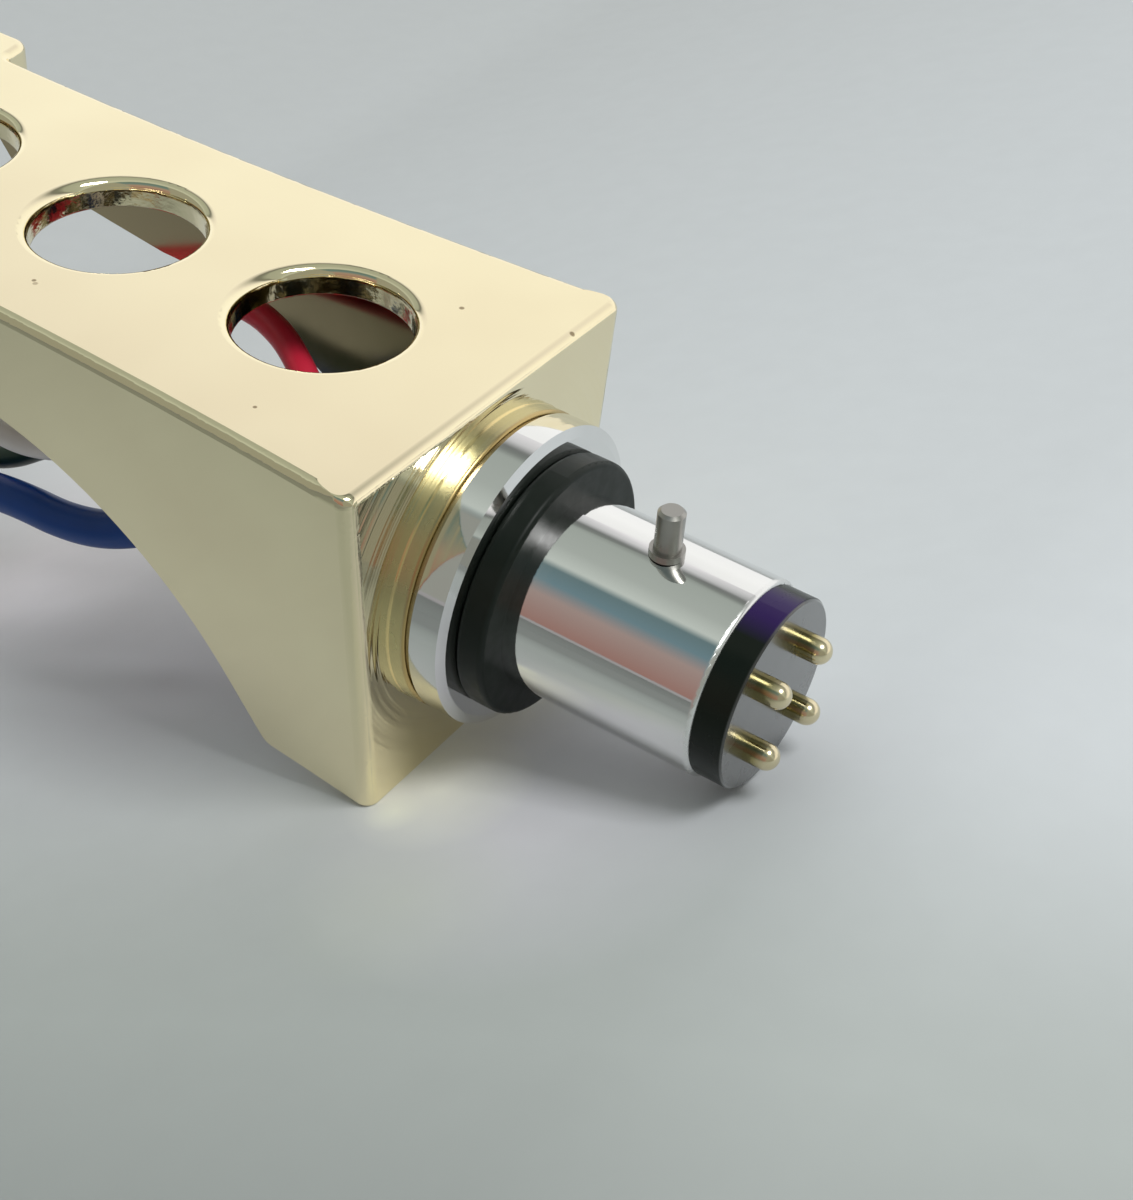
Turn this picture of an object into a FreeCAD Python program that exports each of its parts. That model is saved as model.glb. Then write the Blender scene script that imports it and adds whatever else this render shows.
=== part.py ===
"""A turntable headshell: a cast body, its four-contact plug and the four loose leads.

The origin is on the plug's axis at the outer face of the rubber washer, which is the face
that meets a tonearm's collar. +X points out of the plug, -X to the front of the headshell,
and +Z is up. Sizes are in millimetres.
"""
import FreeCAD, Part
import math
import os
import Sketcher

Vector = FreeCAD.Vector

# Sizes that can be set by themselves: name, value, what it is
SIZES = [
    ("barrel_radius", 4.0, "outer radius of the plug's barrel"),
    ("barrel_length", 8.15, "washer face to the end of the barrel"),
    ("barrel_bore", 3.2, "radius of the bore through the plug"),
    ("barrel_edge", 0.2, "rounding at the end of the barrel"),
    ("washer_radius", 5.3, "outer radius of the rubber washer"),
    ("washer_thickness", 1.19, "thickness of the rubber washer"),
    ("washer_round", 0.22, "rounding of the washer's rim"),
    ("flange_radius", 6.28, "outer radius of the plug's flange"),
    ("flange_thickness", 1.6, "thickness of the plug's flange"),
    ("flange_bevel", 0.42, "breadth of the bevel on the flange's rim"),
    ("flange_slant", 0.16, "how far that bevel falls back"),
    ("groove_depth", 0.28, "depth of the groove behind the flange"),
    ("groove_width", 0.22, "width of the groove behind the flange"),
    ("boss_radius", 6.3, "radius of the body's boss behind the flange"),
    ("boss_height", 0.75, "height of that boss"),
    ("boss_edge", 0.15, "rounding of the boss's rim"),
    ("rear_wall", 3.88, "thickness of the body's rear wall"),
    ("cap_radius", 3.85, "radius of the insulator's cap"),
    ("cap_thickness", 1.3, "thickness of the insulator's cap"),
    ("cap_edge", 0.1, "chamfer on the cap's rim"),
    ("insulator_tail", 0.1, "how far the insulator stands into the body"),
    ("contact_offset", 1.52, "each contact's distance from the axis in Y and in Z"),
    ("contact_radius", 0.52, "radius of a contact's domed end"),
    ("contact_reach", 1.25, "how far a contact stands out of the cap"),
    ("contact_head", 1.0, "length of the thick end inside the insulator"),
    ("tail_radius", 0.42, "radius of a contact's thin tail"),
    ("tail_reach", 1.3, "how far a tail stands out of the insulator"),
    ("sleeve_radius", 0.78, "outer radius of a crimp sleeve on a tail"),
    ("sleeve_length", 2.2, "length of a crimp sleeve"),
    ("sleeve_gap", 0.15, "clearance from the insulator to a crimp sleeve"),
    ("key_place", 4.28, "washer face to the locating pin"),
    ("key_radius", 0.53, "radius of the locating pin"),
    ("key_height", 2.0, "how far the locating pin stands out of the barrel"),
    ("key_edge", 0.12, "chamfer on the locating pin"),
    ("collar_radius", 0.68, "radius of the locating pin's collar"),
    ("collar_height", 0.28, "height of that collar"),
    ("plate_top", 7.52, "plug axis to the top face"),
    ("body_height", 15.92, "top face to the underside of the foot"),
    ("plate_thickness", 1.2, "thickness of the top plate"),
    ("side_wall", 1.2, "thickness of the side walls"),
    ("wall_lean", 0.088, "how far the sides lean in for each unit of depth"),
    ("waist_half", 7.64, "half the top's width at the waist"),
    ("waist_place", 24.96, "rear wall to the waist"),
    ("side_radius", 293.0, "radius of the long sides in plan"),
    ("platform_half", 9.6, "half the front platform's width"),
    ("platform_thickness", 2.4, "thickness of the front platform"),
    ("shoulder_place", 32.88, "rear wall to the shoulder's inner corner"),
    ("shoulder_slant", 0.7, "how far the shoulder runs forward to its outer corner"),
    ("body_length", 48.68, "rear wall to the front edge"),
    ("front_corner", 1.4, "radius of the front corners"),
    ("shoulder_corner", 0.9, "radius of the shoulder's outer corners"),
    ("shoulder_hollow", 0.6, "radius of the shoulder's inner corners"),
    ("edge_round", 0.4, "rounding of the upper edges"),
    ("rear_round", 0.55, "rounding of the rear wall's standing edges"),
    ("rim_round", 0.42, "rounding of the windows' upper rims"),
    ("window_radius", 3.57, "radius of the round windows"),
    ("window_place", 8.17, "rear wall to the first window's centre"),
    ("window_pitch", 10.7, "spacing of the windows"),
    ("slot_width", 2.7, "width of a cartridge slot"),
    ("slot_clearance", 2.5, "shoulder to the slots' rear ends"),
    ("slot_spacing", 12.7, "spacing of the two slots"),
    ("slot_margin", 4.3, "front edge to the slots' front ends"),
    ("sweep_radius", 17.9, "radius of the side walls' lower edge"),
    ("sweep_place", 22.38, "rear wall to the start of that sweep"),
    ("sweep_angle", 55.7, "steepest slope of the sweep, in degrees"),
    ("skirt_depth", 5.3, "top face to the side walls' edge where the sweep starts"),
    ("skirt_front", 4.2, "top face to the side walls' edge near the shoulder"),
    ("skirt_run", 1.2, "shoulder to the front end of that edge"),
    ("foot_round", 0.7, "rounding at the front of the foot"),
    ("set_screw_radius", 1.25, "radius of the screw that holds the plug"),
    ("set_screw_length", 3.4, "length of that screw"),
    ("set_screw_key", 0.72, "half the width across its hexagon socket"),
    ("set_screw_socket", 1.3, "depth of its hexagon socket"),
    ("lift_radius", 0.75, "radius of the finger lift"),
    ("lift_margin", 2.4, "front edge to the finger lift's axis"),
    ("lift_seat", 3.6, "depth of the finger lift's seat in the platform"),
    ("lift_straight", 3.0, "straight run of the finger lift beyond the platform"),
    ("lift_bend", 9.0, "radius of the finger lift's bend"),
    ("lift_angle", 38.0, "angle of the finger lift's bend, in degrees"),
    ("lift_tip", 4.5, "straight tip of the finger lift"),
    ("lift_edge", 0.35, "rounding of the finger lift's tip"),
    ("lead_radius", 0.6, "radius of the red, white and green leads"),
    ("blue_lead_radius", 0.84, "radius of the blue lead, which the photograph shows thicker"),
    ("clip_radius", 0.95, "outer radius of a clip"),
    ("clip_bore", 0.55, "radius of the hole in a clip's mouth"),
    ("clip_length", 7.0, "length of a clip"),
    ("clip_depth", 4.5, "depth of the hole in a clip"),
    ("clip_edge", 0.2, "chamfer on a clip's ends"),
    ("cut_margin", 1.0, "how far a cut runs past the face that it opens"),
]

# Sizes that follow from those above
DERIVED = [
    ("washer_back", "-washer_thickness"),
    ("flange_back", "washer_back - flange_thickness"),
    ("groove_front", "flange_back + groove_width"),
    ("groove_radius", "flange_radius - groove_depth"),
    ("rear_face", "flange_back - boss_height"),
    ("cavity_rear", "rear_face - rear_wall"),
    ("insulator_back", "cavity_rear - insulator_tail"),
    ("cap_face", "barrel_length + cap_thickness"),
    ("contact_tip", "cap_face + contact_reach"),
    ("contact_dome", "contact_tip - contact_radius"),
    ("contact_step", "cap_face - contact_head"),
    ("tail_end", "insulator_back - tail_reach"),
    ("sleeve_front", "insulator_back - sleeve_gap"),
    ("sleeve_back", "sleeve_front - sleeve_length"),
    ("key_top", "barrel_radius + key_height"),
    ("collar_top", "barrel_radius + collar_height"),
    ("bottom", "plate_top - body_height"),
    ("plate_under", "plate_top - plate_thickness"),
    ("platform_under", "plate_top - platform_thickness"),
    ("waist_x", "rear_face - waist_place"),
    ("front_face", "rear_face - body_length"),
    ("shoulder_x", "rear_face - shoulder_place"),
    ("shoulder_out", "shoulder_x - shoulder_slant"),
    ("cavity_front", "shoulder_x - 0.5 * side_wall"),
    ("skirt_x", "shoulder_x + skirt_run"),
    ("loft_front", "shoulder_out - shoulder_corner"),
    ("shoulder_root", "waist_half - side_wall"),
    ("bow_centre", "waist_half + side_radius"),
    ("inner_centre", "shoulder_root + side_radius"),
    ("rear_half", "bow_centre - sqrt(side_radius ^ 2 - waist_place ^ 2)"),
    ("loft_half", "bow_centre - sqrt(side_radius ^ 2 - (waist_x - loft_front) ^ 2)"),
    ("inner_half", "inner_centre - sqrt(side_radius ^ 2 - (waist_x - cavity_rear) ^ 2)"),
    ("inner_front_half", "inner_centre - sqrt(side_radius ^ 2 - (waist_x - cavity_front) ^ 2)"),
    ("foot_lean", "wall_lean * body_height"),
    ("plate_lean", "wall_lean * plate_thickness"),
    ("cut_lean", "wall_lean * (body_height + cut_margin)"),
    ("rear_half_low", "rear_half - foot_lean"),
    ("loft_half_low", "loft_half - foot_lean"),
    ("inner_half_high", "inner_half - plate_lean"),
    ("inner_front_high", "inner_front_half - plate_lean"),
    ("inner_half_low", "inner_half - cut_lean"),
    ("inner_front_low", "inner_front_half - cut_lean"),
    ("window_x", "rear_face - window_place"),
    ("slot_front", "front_face + slot_margin + 0.5 * slot_width"),
    ("slot_rear", "shoulder_x - slot_clearance - 0.5 * slot_width"),
    ("slot_half", "0.5 * slot_spacing"),
    ("slot_end", "0.5 * slot_width"),
    ("slot_inner", "slot_half - 0.5 * slot_width"),
    ("slot_outer", "slot_half + 0.5 * slot_width"),
    ("window_run", "2 * window_pitch"),
    ("sweep_x", "rear_face - sweep_place"),
    ("sweep_z", "plate_top - skirt_depth"),
    ("skirt_z", "plate_top - skirt_front"),
    ("sweep_end_x", "sweep_x + sweep_radius * sin(sweep_angle)"),
    ("sweep_end_z", "sweep_z - sweep_radius * (1 - cos(sweep_angle))"),
    ("foot_x", "sweep_end_x + (sweep_end_z - bottom) / tan(sweep_angle)"),
    ("below", "bottom - cut_margin"),
    ("foot_low_x", "foot_x + cut_margin / tan(sweep_angle)"),
    ("bore_length", "boss_height + rear_wall + cut_margin"),
    ("cut_front", "front_face - cut_margin"),
    ("screw_x", "rear_face - 0.5 * rear_wall"),
    ("screw_top", "-barrel_radius"),
    ("screw_low", "screw_top - set_screw_length"),
    ("screw_hole", "body_height - plate_top - 0.9 * barrel_radius"),
    ("lift_x", "front_face + lift_margin"),
    ("lift_z", "plate_top - 0.5 * platform_thickness"),
    ("lift_root", "lift_seat - platform_half"),
    ("lift_end", "-platform_half - lift_straight"),
    ("lift_bend_y", "lift_end - lift_bend * sin(lift_angle)"),
    ("lift_bend_z", "lift_z + lift_bend * (1 - cos(lift_angle))"),
    ("lift_tip_y", "lift_bend_y - lift_tip * cos(lift_angle)"),
    ("lift_tip_z", "lift_bend_z + lift_tip * sin(lift_angle)"),
    ("barrel_shoulder", "barrel_length - barrel_edge"),
    ("barrel_rim", "barrel_radius - barrel_edge"),
    ("flange_shoulder", "washer_back - flange_slant"),
    ("flange_rim", "flange_radius - flange_bevel"),
    ("cap_shoulder", "cap_face - cap_edge"),
    ("cap_rim", "cap_radius - cap_edge"),
    ("insulator_length", "cap_face - insulator_back + cut_margin"),
    ("key_shoulder", "key_top - key_edge"),
    ("key_rim", "key_radius - key_edge"),
    ("key_plane", "barrel_radius + cut_margin"),
    ("key_cut", "key_plane - 0.5 * barrel_bore"),
    ("clip_rim", "clip_radius - clip_edge"),
    ("clip_shoulder", "clip_length - clip_edge"),
    ("clip_floor", "clip_length - clip_depth"),
]

# The leads, from the end of the straight run out of a crimp sleeve to the clip
LEADS = {
    "red": {
        "side": (1, 1),
        "radius": "lead_radius",
        "route": [
            (-11.90, 1.52, 1.52), (-13.88, 2.03, 1.81), (-15.81, 3.12, 2.43), (-17.10, 3.72, 2.71),
            (-18.89, 4.20, 2.88), (-21.50, 4.32, 2.73), (-24.29, 3.60, 1.99), (-27.60, 2.10, 0.40),
            (-31.60, 1.35, -1.40), (-35.40, 1.40, -3.80), (-38.60, 1.75, -6.70), (-40.90, 2.05, -10.00),
        ],
    },
    "white": {
        "side": (-1, 1),
        "radius": "lead_radius",
        "route": [
            (-11.60, -1.52, 1.52), (-13.70, -1.75, 1.25), (-16.40, -2.50, 0.55), (-19.87, -3.68, -0.40),
            (-24.09, -4.71, -1.69), (-27.61, -3.93, -2.08), (-31.20, -4.15, -3.16), (-34.79, -3.50, -4.59),
            (-37.92, -2.90, -7.03), (-40.19, -2.55, -10.19),
        ],
    },
    "green": {
        "side": (1, -1),
        "radius": "lead_radius",
        "route": [
            (-11.60, 1.52, -1.52), (-13.80, 1.30, -1.75), (-16.60, 0.60, -2.35), (-20.27, -0.43, -2.93),
            (-24.90, -1.85, -3.19), (-28.28, -2.60, -5.60), (-32.06, -1.81, -6.56), (-35.16, -0.43, -8.04),
            (-37.43, 0.12, -10.90), (-38.60, 0.15, -14.20),
        ],
    },
    "blue": {
        "side": (-1, -1),
        "radius": "blue_lead_radius",
        "route": [
            (-12.00, -1.52, -1.52), (-14.44, -1.83, -1.95), (-16.68, -2.47, -2.86), (-19.19, -3.47, -4.56),
            (-22.20, -4.01, -5.50), (-26.14, -4.06, -5.61), (-29.69, -3.93, -6.67), (-32.88, -3.85, -8.07),
            (-35.66, -4.58, -10.30), (-37.45, -5.18, -13.29),
        ],
    },
}

doc = FreeCAD.newDocument("headshell")
sheet = doc.addObject("Spreadsheet::Sheet", "Sizes")


def fill_sheet():
    """Writes the sizes and the formulas of those that follow from them."""
    row = 1
    for name, value, note in SIZES:
        sheet.set(f"A{row}", note)
        sheet.set(f"B{row}", str(value))
        sheet.setAlias(f"B{row}", name)
        row += 1
    for name, formula in DERIVED:
        sheet.set(f"B{row}", "=" + formula)
        sheet.setAlias(f"B{row}", name)
        row += 1
    doc.recompute()


def size(name):
    """A size as a number. A leading minus turns it over, and 0 stands for itself."""
    if name == "0":
        return 0.0
    if name.startswith("-"):
        return -size(name[1:])
    return float(sheet.get(name))


def bound(name):
    """The expression that ties a dimension to a size."""
    if name.startswith("-"):
        return "-Sizes." + name[1:]
    return "Sizes." + name


def new_body(label):
    """A body with its own label."""
    body = doc.addObject("PartDesign::Body", label)
    body.Label = label
    return body


def origin_feature(body, role):
    """One of a body's origin planes or axes."""
    for feature in body.Origin.OriginFeatures:
        if feature.Role == role:
            return feature
    raise ValueError(role)


def new_sketch(body, name, plane, offset="0"):
    """An empty sketch on an origin plane of its body, moved along the plane's normal."""
    sketch = body.newObject("Sketcher::SketchObject", name)
    sketch.AttachmentSupport = [(origin_feature(body, plane), "")]
    sketch.MapMode = "FlatFace"
    if offset != "0":
        sketch.AttachmentOffset = FreeCAD.Placement(Vector(0, 0, size(offset)), FreeCAD.Rotation())
        sketch.setExpression("AttachmentOffset.Base.z", bound(offset))
    return sketch


def tie(sketch, constraint, name):
    """Adds a dimension and ties it to its size."""
    index = sketch.addConstraint(constraint)
    if name != "0":
        sketch.setExpression(f"Constraints[{index}]", bound(name))


def pin_point(sketch, geometry, end, place):
    """Fixes one point of a line, arc or circle at a pair of sizes."""
    tie(sketch, Sketcher.Constraint("DistanceX", -1, 1, geometry, end, size(place[0])), place[0])
    tie(sketch, Sketcher.Constraint("DistanceY", -1, 1, geometry, end, size(place[1])), place[1])


def arc_between(start, end, radius, side):
    """The arc of this radius from start to end that bows to the left (1) or right (-1).

    A sketch's arcs run anticlockwise, so one that bows to the left runs from end to start.
    """
    chord = end - start
    reach = math.sqrt(max(0.0, radius ** 2 - (chord.Length / 2) ** 2))
    across = Vector(-chord.y, chord.x, 0).normalize()
    centre = (start + end) / 2 - across * side * reach
    first, last = (end, start) if side > 0 else (start, end)
    low, high = (math.atan2(p.y - centre.y, p.x - centre.x) for p in (first, last))
    if high < low:
        high += 2 * math.pi
    return Part.ArcOfCircle(Part.Circle(centre, Vector(0, 0, 1), radius), low, high)


def outline(sketch, corners, arcs={}, closed=True):
    """An outline through corners given as pairs of sizes, with some edges as arcs.

    An arc is given under its edge's number as its radius, its side and, for a half circle,
    the place of its centre along the sketch's first axis.
    """
    places = [Vector(size(u), size(v), 0) for u, v in corners]
    count = len(places) if closed else len(places) - 1
    for i in range(count):
        following = (i + 1) % len(places)
        first = 1
        if i in arcs:
            radius, side = arcs[i][:2]
            sketch.addGeometry(arc_between(places[i], places[following], size(radius), side), False)
            first = 2 if side > 0 else 1
        else:
            sketch.addGeometry(Part.LineSegment(places[i], places[following]), False)
        pin_point(sketch, i, first, corners[i])
        pin_point(sketch, i, 3 - first, corners[following])
        if i in arcs and len(arcs[i]) == 3:
            middle = arcs[i][2]
            tie(sketch, Sketcher.Constraint("DistanceX", -1, 1, i, 3, size(middle)), middle)
        elif i in arcs:
            tie(sketch, Sketcher.Constraint("Radius", i, size(radius)), radius)


def circle(sketch, place, radius):
    """A circle at a pair of sizes."""
    centre = Vector(size(place[0]), size(place[1]), 0)
    index = sketch.addGeometry(Part.Circle(centre, Vector(0, 0, 1), size(radius)), False)
    pin_point(sketch, index, 3, place)
    tie(sketch, Sketcher.Constraint("Radius", index, size(radius)), radius)


def pad(body, name, sketch, length, reverse=False):
    """Adds a sketch's area along its normal."""
    feature = body.newObject("PartDesign::Pad", name)
    feature.Profile = sketch
    feature.setExpression("Length", bound(length))
    feature.Reversed = reverse
    doc.recompute()


def check_cut(body, before, name):
    """Stops where a cut pointed away from the solid."""
    if body.Shape.Volume > before - 1e-6:
        raise RuntimeError(f"{name} cut nothing")


def pocket(body, name, sketch, length, reverse=False):
    """Cuts a sketch's area against its normal."""
    doc.recompute()
    before = body.Shape.Volume
    feature = body.newObject("PartDesign::Pocket", name)
    feature.Profile = sketch
    feature.setExpression("Length", bound(length))
    feature.Reversed = reverse
    doc.recompute()
    check_cut(body, before, name)
    return feature


def spin(body, name, corners, arcs={}, axis="H_Axis"):
    """A solid turned round an axis of its sketch, which lies across the Y axis."""
    sketch = new_sketch(body, name + "_outline", "XZ_Plane")
    outline(sketch, corners, arcs)
    feature = body.newObject("PartDesign::Revolution", name)
    feature.Profile = sketch
    feature.ReferenceAxis = (sketch, [axis])
    feature.Angle = 360.0
    doc.recompute()


def round_edges(body, name, wanted, radius):
    """Rounds the edges for which wanted is true."""
    edges = [f"Edge{i}" for i, edge in enumerate(body.Shape.Edges, 1) if wanted(edge)]
    if not edges:
        raise RuntimeError(f"{name} found no edge")
    base = body.Tip
    feature = body.newObject("PartDesign::Fillet", name)
    feature.Base = (base, edges)
    feature.setExpression("Radius", bound(radius))
    doc.recompute()


def close(a, b, slack=0.02):
    """True where two numbers are as good as equal."""
    return abs(a - b) < slack


def level(edge, z):
    """True for an edge that lies wholly at one height."""
    box = edge.BoundBox
    return close(box.ZMin, z) and close(box.ZMax, z)


def upright(edge, x_low, x_high, half_low, half_high):
    """True for a standing edge whose top lies in this range, on either side of the middle."""
    if len(edge.Vertexes) != 2:
        return False
    low, high = sorted((vertex.Point for vertex in edge.Vertexes), key=lambda point: point.z)
    stands = high.z - low.z > 0.5 * size("plate_thickness") and close(high.z, size("plate_top"))
    return stands and x_low < high.x < x_high and half_low < abs(high.y) < half_high


def body_block(body):
    """The drafted block that the walls and the plate are cut from, with the platform."""
    bowed = {1: ("side_radius", 1), 3: ("side_radius", 1)}
    high = new_sketch(body, "top_outline", "XY_Plane", "plate_top")
    outline(high, [("rear_face", "-rear_half"), ("rear_face", "rear_half"),
                   ("loft_front", "loft_half"), ("loft_front", "-loft_half")], bowed)
    low = new_sketch(body, "foot_outline", "XY_Plane", "bottom")
    outline(low, [("rear_face", "-rear_half_low"), ("rear_face", "rear_half_low"),
                  ("loft_front", "loft_half_low"), ("loft_front", "-loft_half_low")], bowed)
    block = body.newObject("PartDesign::AdditiveLoft", "drafted_block")
    block.Profile = high
    block.Sections = [low]
    block.Ruled = True
    doc.recompute()
    platform = new_sketch(body, "platform_outline", "XY_Plane", "plate_top")
    outline(platform, [("shoulder_x", "-shoulder_root"), ("shoulder_x", "shoulder_root"),
                       ("shoulder_out", "platform_half"), ("front_face", "platform_half"),
                       ("front_face", "-platform_half"), ("shoulder_out", "-platform_half")])
    pad(body, "platform", platform, "platform_thickness", reverse=True)


def body_lower_edge(body):
    """Cuts away everything below the swept lower edge of the side walls."""
    sketch = new_sketch(body, "side_profile", "XZ_Plane")
    outline(sketch, [("cut_front", "below"), ("foot_low_x", "below"), ("sweep_end_x", "sweep_end_z"),
                     ("sweep_x", "sweep_z"), ("skirt_x", "skirt_z"), ("cavity_front", "platform_under"),
                     ("cut_front", "platform_under")], {2: ("sweep_radius", -1)})
    doc.recompute()
    before = body.Shape.Volume
    cut = body.newObject("PartDesign::Pocket", "swept_edge")
    cut.Profile = sketch
    cut.Type = "ThroughAll"
    cut.Midplane = True
    doc.recompute()
    check_cut(body, before, cut.Name)


def body_cavity(body):
    """Hollows the body between its side walls, open below."""
    bowed = {1: ("side_radius", 1), 3: ("side_radius", 1)}
    high = new_sketch(body, "cavity_top", "XY_Plane", "plate_under")
    outline(high, [("cavity_rear", "-inner_half_high"), ("cavity_rear", "inner_half_high"),
                   ("cavity_front", "inner_front_high"), ("cavity_front", "-inner_front_high")], bowed)
    low = new_sketch(body, "cavity_foot", "XY_Plane", "below")
    outline(low, [("cavity_rear", "-inner_half_low"), ("cavity_rear", "inner_half_low"),
                  ("cavity_front", "inner_front_low"), ("cavity_front", "-inner_front_low")], bowed)
    before = body.Shape.Volume
    cavity = body.newObject("PartDesign::SubtractiveLoft", "cavity")
    cavity.Profile = high
    cavity.Sections = [low]
    cavity.Ruled = True
    doc.recompute()
    check_cut(body, before, cavity.Name)


def body_windows(body):
    """The row of three round windows in the plate."""
    sketch = new_sketch(body, "window_outline", "XY_Plane", "plate_top")
    circle(sketch, ("window_x", "0"), "window_radius")
    window = pocket(body, "window", sketch, "platform_thickness")
    windows = body.newObject("PartDesign::LinearPattern", "windows")
    windows.Originals = [window]
    windows.Direction = (origin_feature(body, "X_Axis"), [""])
    windows.Reversed = True
    windows.setExpression("Length", bound("window_run"))
    windows.Occurrences = 3
    body.Tip = windows
    doc.recompute()


def body_slots(body):
    """The two slots for the cartridge's screws."""
    for sign, bow in (("", -1), ("-", 1)):
        sketch = new_sketch(body, "slot_outline", "XY_Plane", "plate_top")
        outline(sketch, [("slot_rear", sign + "slot_inner"), ("slot_rear", sign + "slot_outer"),
                         ("slot_front", sign + "slot_outer"), ("slot_front", sign + "slot_inner")],
                {0: ("slot_end", bow, "slot_rear"), 2: ("slot_end", bow, "slot_front")})
        pocket(body, "slot", sketch, "platform_thickness")


def body_plug_seat(body):
    """The boss on the rear wall, the bore for the plug and the hole for its screw."""
    boss = new_sketch(body, "boss_outline", "YZ_Plane", "rear_face")
    circle(boss, ("0", "0"), "boss_radius")
    pad(body, "boss", boss, "boss_height")
    bore = new_sketch(body, "bore_outline", "YZ_Plane", "flange_back")
    circle(bore, ("0", "0"), "barrel_radius")
    pocket(body, "bore", bore, "bore_length")
    hole = new_sketch(body, "screw_outline", "XY_Plane", "bottom")
    circle(hole, ("screw_x", "0"), "set_screw_radius")
    pocket(body, "screw_hole", hole, "screw_hole", reverse=True)
    seat = new_sketch(body, "lift_outline", "XZ_Plane", "platform_half")
    circle(seat, ("lift_x", "lift_z"), "lift_radius")
    pocket(body, "lift_hole", seat, "lift_seat")


def round_corners(body):
    """Rounds the platform's corners in plan."""
    slack = 0.1
    half = size("platform_half")

    def outer_corner(edge, x):
        """True for the standing edge at the platform's full width and this X."""
        return upright(edge, x - slack, x + slack, half - slack, half + slack)

    def hollow(edge):
        """True for the shoulder's inner corner."""
        low, high = size("shoulder_out"), size("shoulder_x")
        return upright(edge, low, high, size("shoulder_root"), half - slack)

    front = size("front_face")
    out = size("shoulder_out")
    round_edges(body, "front_corners", lambda e: outer_corner(e, front), "front_corner")
    round_edges(body, "shoulder_corners", lambda e: outer_corner(e, out), "shoulder_corner")
    round_edges(body, "shoulder_hollows", hollow, "shoulder_hollow")


def round_rims(body):
    """Rounds the upper and rear edges, the windows' rims, the boss and the front of the foot."""
    slack = 0.1
    top = size("plate_top")
    rear = size("rear_face")
    half = size("platform_half")

    def in_slot(edge):
        """True for an edge of a cartridge slot."""
        box = edge.BoundBox
        behind_front = box.XMin > size("front_face") + slack and box.XMax < size("shoulder_out")
        return behind_front and abs(edge.CenterOfMass.y) < half - slack

    def rear_corner(edge):
        """True for the rear wall's standing edges."""
        return upright(edge, rear - slack, rear + slack, 0, size("rear_half") + slack)

    def upper(edge):
        """True for the plate's outer edge at the top."""
        return level(edge, top) and not edge.Closed and not in_slot(edge)

    def boss_rim(edge):
        """True for the boss's outer rim."""
        box = edge.BoundBox
        outer = box.ZMax > size("barrel_radius") + slack
        return edge.Closed and outer and close(box.XMin, size("flange_back"))

    def foot_front(edge):
        """True for the foot's front edge."""
        return level(edge, size("bottom")) and close(edge.BoundBox.XMax, size("foot_x"))

    round_edges(body, "rear_corners", rear_corner, "rear_round")
    round_edges(body, "upper_edges", upper, "edge_round")
    round_edges(body, "window_rims", lambda e: e.Closed and level(e, top), "rim_round")
    round_edges(body, "boss_rim", boss_rim, "boss_edge")
    round_edges(body, "foot_front", foot_front, "foot_round")


def headshell_body():
    """The cast body: plate, side walls, rear wall with its boss, and front platform."""
    body = new_body("headshell_body")
    body_block(body)
    body_lower_edge(body)
    body_cavity(body)
    body_windows(body)
    body_slots(body)
    body_plug_seat(body)
    round_corners(body)
    round_rims(body)
    return body


def plug_sleeve():
    """The turned plug: a shank in the body's bore, a flange and the barrel."""
    body = new_body("plug_sleeve")
    spin(body, "sleeve", [
        ("cavity_rear", "barrel_bore"), ("cavity_rear", "barrel_radius"),
        ("flange_back", "barrel_radius"), ("flange_back", "groove_radius"),
        ("groove_front", "groove_radius"), ("groove_front", "flange_radius"),
        ("flange_shoulder", "flange_radius"), ("washer_back", "flange_rim"),
        ("washer_back", "barrel_radius"), ("barrel_shoulder", "barrel_radius"),
        ("barrel_length", "barrel_rim"), ("barrel_length", "barrel_bore"),
    ], {9: ("barrel_edge", 1)})
    hole = new_sketch(body, "key_outline", "XY_Plane", "key_plane")
    circle(hole, ("key_place", "0"), "key_radius")
    pocket(body, "key_hole", hole, "key_cut")
    return body


def rubber_washer():
    """The washer that the collar squeezes against the flange."""
    body = new_body("rubber_washer")
    spin(body, "washer", [
        ("washer_back", "barrel_radius"), ("washer_back", "washer_radius"),
        ("0", "washer_radius"), ("0", "barrel_radius"),
    ])
    rim = size("washer_radius")
    round_edges(body, "washer_rim", lambda e: e.Closed and close(e.BoundBox.ZMax, rim), "washer_round")
    return body


def locating_pin():
    """The pin that turns the plug the right way up, pressed into the barrel."""
    body = new_body("locating_pin")
    spin(body, "key", [
        ("0", "barrel_bore"), ("key_radius", "barrel_bore"), ("key_radius", "barrel_radius"),
        ("collar_radius", "barrel_radius"), ("collar_radius", "collar_top"), ("key_radius", "collar_top"),
        ("key_radius", "key_shoulder"), ("key_rim", "key_top"), ("0", "key_top"),
    ], axis="V_Axis")
    body.setExpression("Placement.Base.x", bound("key_place"))
    return body


def insulator():
    """The moulded insulator: a core in the plug's bore and a cap over its end."""
    body = new_body("insulator")
    spin(body, "moulding", [
        ("insulator_back", "0"), ("insulator_back", "barrel_bore"), ("barrel_length", "barrel_bore"),
        ("barrel_length", "cap_radius"), ("cap_shoulder", "cap_radius"), ("cap_face", "cap_rim"),
        ("cap_face", "0"),
    ])
    place = ("contact_offset", "contact_offset")
    head = new_sketch(body, "head_outline", "YZ_Plane", "cap_face")
    circle(head, place, "contact_radius")
    heads = pocket(body, "head_hole", head, "contact_head")
    tail = new_sketch(body, "tail_outline", "YZ_Plane", "cap_face")
    circle(tail, place, "tail_radius")
    tails = pocket(body, "tail_hole", tail, "insulator_length")
    holes = body.newObject("PartDesign::PolarPattern", "holes")
    holes.Originals = [heads, tails]
    holes.Axis = (origin_feature(body, "X_Axis"), [""])
    holes.Angle = 360.0
    holes.Occurrences = 4
    body.Tip = holes
    doc.recompute()
    return body


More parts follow.
